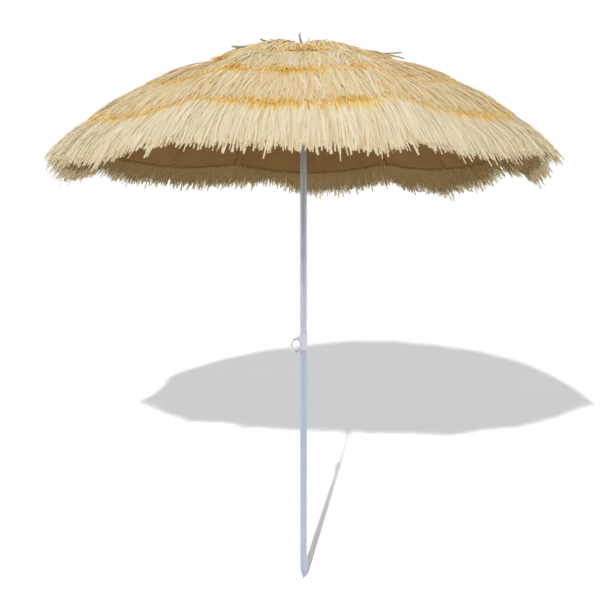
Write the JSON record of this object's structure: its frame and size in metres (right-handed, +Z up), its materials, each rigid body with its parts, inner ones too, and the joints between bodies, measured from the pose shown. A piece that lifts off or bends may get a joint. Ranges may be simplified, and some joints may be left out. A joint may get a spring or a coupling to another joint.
{
  "type": "beach umbrella",
  "caption": "Thatched beach umbrella with a two-piece clamped pole, a spike, a folding frame of ribs and stretchers, and a domed canopy.",
  "frame": {"origin": "tip of the ground spike, on the pole's axis", "axes": "+Z up along the pole; -Y towards the viewer, with the clamp screw on the -X side"},
  "size_m": [1.6598, 1.6598, 1.7913],
  "materials": {
    "pole_paint": "satin",
    "collar_plastic": "satin",
    "zinc_wire": "satin",
    "frame_steel": "satin",
    "frame_plastic": "matte",
    "thatch": "matte",
    "canopy_fabric": "matte",
    "gold_braid": "matte"
  },
  "bodies": {
    "lower_body": {"lower_pole": "pole_paint", "ground_spike": "pole_paint", "clamp_collar": "collar_plastic"},
    "screw_body": {"clamp_screw": "zinc_wire"},
    "ring_body": {"screw_ring": "zinc_wire"},
    "upper_body": {"upper_pole": "pole_paint", "pole_plug": "frame_plastic", "crown_hub": "frame_plastic", "crown_wire": "zinc_wire", "top_cap": "frame_plastic"},
    "catch_body": {"runner_catch": "frame_steel"},
    "runner_body": {"runner": "frame_plastic", "runner_wire": "zinc_wire"},
    "rib_body_1": {"rib_1": "frame_steel", "rib_bracket_1": "frame_steel", "rib_tip_1": "frame_plastic", "canopy_1": "thatch"},
    "rib_body_2": {"rib_2": "frame_steel", "rib_bracket_2": "frame_steel", "rib_tip_2": "frame_plastic", "canopy_2": "thatch"},
    "rib_body_3": {"rib_3": "frame_steel", "rib_bracket_3": "frame_steel", "rib_tip_3": "frame_plastic", "canopy_3": "thatch"},
    "rib_body_4": {"rib_4": "frame_steel", "rib_bracket_4": "frame_steel", "rib_tip_4": "frame_plastic", "canopy_4": "thatch"},
    "rib_body_5": {"rib_5": "frame_steel", "rib_bracket_5": "frame_steel", "rib_tip_5": "frame_plastic", "canopy_5": "thatch"},
    "rib_body_6": {"rib_6": "frame_steel", "rib_bracket_6": "frame_steel", "rib_tip_6": "frame_plastic", "canopy_6": "thatch"},
    "rib_body_7": {"rib_7": "frame_steel", "rib_bracket_7": "frame_steel", "rib_tip_7": "frame_plastic", "canopy_7": "thatch"},
    "rib_body_8": {"rib_8": "frame_steel", "rib_bracket_8": "frame_steel", "rib_tip_8": "frame_plastic", "canopy_8": "thatch"},
    "stretcher_body_1": {"stretcher_1": "frame_steel"},
    "stretcher_body_2": {"stretcher_2": "frame_steel"},
    "stretcher_body_3": {"stretcher_3": "frame_steel"},
    "stretcher_body_4": {"stretcher_4": "frame_steel"},
    "stretcher_body_5": {"stretcher_5": "frame_steel"},
    "stretcher_body_6": {"stretcher_6": "frame_steel"},
    "stretcher_body_7": {"stretcher_7": "frame_steel"},
    "stretcher_body_8": {"stretcher_8": "frame_steel"}
  },
  "joints": [
    {"name": "pole_slide", "type": "slide", "parent": "lower_body", "child": "upper_body", "axis": [0, 0, 1], "range_m": [-0.15, 0.1]},
    {"name": "screw_turn", "type": "hinge", "parent": "lower_body", "child": "screw_body", "pos_m": [-0.026, 0, 0.814], "axis": [0.9848, 0, 0.1736], "range_deg": [0, 90]},
    {"name": "ring_swing", "type": "hinge", "parent": "screw_body", "child": "ring_body", "pos_m": [-0.026, 0, 0.8122], "axis": [0.6428, 0.766, 0], "range_deg": [0, 150]},
    {"name": "runner_slide", "type": "slide", "parent": "upper_body", "child": "runner_body", "axis": [0, 0, 1], "range_m": [-0.4011, 0], "deforming": ["canopy_1", "canopy_2", "canopy_3", "canopy_4", "canopy_5", "canopy_6", "canopy_7", "canopy_8", "runner_catch"]},
    {"name": "catch_press", "type": "slide", "parent": "upper_body", "child": "catch_body", "axis": [-1, 0, 0], "range_m": [0, 0.004], "stiffness_N_per_m": 800},
    {"name": "rib_fold_1", "type": "hinge", "parent": "upper_body", "child": "rib_body_1", "pos_m": [0.01785, 0.0065, 1.76385], "axis": [-0.342, 0.9397, 0], "range_deg": [0, 65.1]},
    {"name": "rib_fold_2", "type": "hinge", "parent": "upper_body", "child": "rib_body_2", "pos_m": [0.00803, 0.01722, 1.76385], "axis": [-0.9063, 0.4226, 0], "range_deg": [0, 65.1]},
    {"name": "rib_fold_3", "type": "hinge", "parent": "upper_body", "child": "rib_body_3", "pos_m": [-0.0065, 0.01785, 1.76385], "axis": [-0.9397, -0.342, 0], "range_deg": [0, 65.1]},
    {"name": "rib_fold_4", "type": "hinge", "parent": "upper_body", "child": "rib_body_4", "pos_m": [-0.01722, 0.00803, 1.76385], "axis": [-0.4226, -0.9063, 0], "range_deg": [0, 65.1]},
    {"name": "rib_fold_5", "type": "hinge", "parent": "upper_body", "child": "rib_body_5", "pos_m": [-0.01785, -0.0065, 1.76385], "axis": [0.342, -0.9397, 0], "range_deg": [0, 65.1]},
    {"name": "rib_fold_6", "type": "hinge", "parent": "upper_body", "child": "rib_body_6", "pos_m": [-0.00803, -0.01722, 1.76385], "axis": [0.9063, -0.4226, 0], "range_deg": [0, 65.1]},
    {"name": "rib_fold_7", "type": "hinge", "parent": "upper_body", "child": "rib_body_7", "pos_m": [0.0065, -0.01785, 1.76385], "axis": [0.9397, 0.342, 0], "range_deg": [0, 65.1]},
    {"name": "rib_fold_8", "type": "hinge", "parent": "upper_body", "child": "rib_body_8", "pos_m": [0.01722, -0.00803, 1.76385], "axis": [0.4226, 0.9063, 0], "range_deg": [0, 65.1]},
    {"name": "stretcher_fold_1", "type": "hinge", "parent": "runner_body", "child": "stretcher_body_1", "pos_m": [0.01592, 0.01037, 1.53884], "axis": [0.342, -0.9397, 0], "range_deg": [0, 46.25]},
    {"name": "stretcher_fold_2", "type": "hinge", "parent": "runner_body", "child": "stretcher_body_2", "pos_m": [0.00392, 0.01859, 1.53884], "axis": [0.9063, -0.4226, 0], "range_deg": [0, 46.25]},
    {"name": "stretcher_fold_3", "type": "hinge", "parent": "runner_body", "child": "stretcher_body_3", "pos_m": [-0.01037, 0.01592, 1.53884], "axis": [0.9397, 0.342, 0], "range_deg": [0, 46.25]},
    {"name": "stretcher_fold_4", "type": "hinge", "parent": "runner_body", "child": "stretcher_body_4", "pos_m": [-0.01859, 0.00392, 1.53884], "axis": [0.4226, 0.9063, 0], "range_deg": [0, 46.25]},
    {"name": "stretcher_fold_5", "type": "hinge", "parent": "runner_body", "child": "stretcher_body_5", "pos_m": [-0.01592, -0.01037, 1.53884], "axis": [-0.342, 0.9397, 0], "range_deg": [0, 46.25]},
    {"name": "stretcher_fold_6", "type": "hinge", "parent": "runner_body", "child": "stretcher_body_6", "pos_m": [-0.00392, -0.01859, 1.53884], "axis": [-0.9063, 0.4226, 0], "range_deg": [0, 46.25]},
    {"name": "stretcher_fold_7", "type": "hinge", "parent": "runner_body", "child": "stretcher_body_7", "pos_m": [0.01037, -0.01592, 1.53884], "axis": [-0.9397, -0.342, 0], "range_deg": [0, 46.25]},
    {"name": "stretcher_fold_8", "type": "hinge", "parent": "runner_body", "child": "stretcher_body_8", "pos_m": [0.01859, -0.00392, 1.53884], "axis": [-0.4226, -0.9063, 0], "range_deg": [0, 46.25]}
  ],
  "couplings": [
    {"joint": "rib_fold_1", "follows": "runner_slide", "rad_per_m": -2.8283},
    {"joint": "rib_fold_2", "follows": "runner_slide", "rad_per_m": -2.8283},
    {"joint": "rib_fold_3", "follows": "runner_slide", "rad_per_m": -2.8283},
    {"joint": "rib_fold_4", "follows": "runner_slide", "rad_per_m": -2.8283},
    {"joint": "rib_fold_5", "follows": "runner_slide", "rad_per_m": -2.8283},
    {"joint": "rib_fold_6", "follows": "runner_slide", "rad_per_m": -2.8283},
    {"joint": "rib_fold_7", "follows": "runner_slide", "rad_per_m": -2.8283},
    {"joint": "rib_fold_8", "follows": "runner_slide", "rad_per_m": -2.8283},
    {"joint": "stretcher_fold_1", "follows": "runner_slide", "rad_per_m": -2.008},
    {"joint": "stretcher_fold_2", "follows": "runner_slide", "rad_per_m": -2.008},
    {"joint": "stretcher_fold_3", "follows": "runner_slide", "rad_per_m": -2.008},
    {"joint": "stretcher_fold_4", "follows": "runner_slide", "rad_per_m": -2.008},
    {"joint": "stretcher_fold_5", "follows": "runner_slide", "rad_per_m": -2.008},
    {"joint": "stretcher_fold_6", "follows": "runner_slide", "rad_per_m": -2.008},
    {"joint": "stretcher_fold_7", "follows": "runner_slide", "rad_per_m": -2.008},
    {"joint": "stretcher_fold_8", "follows": "runner_slide", "rad_per_m": -2.008}
  ]
}
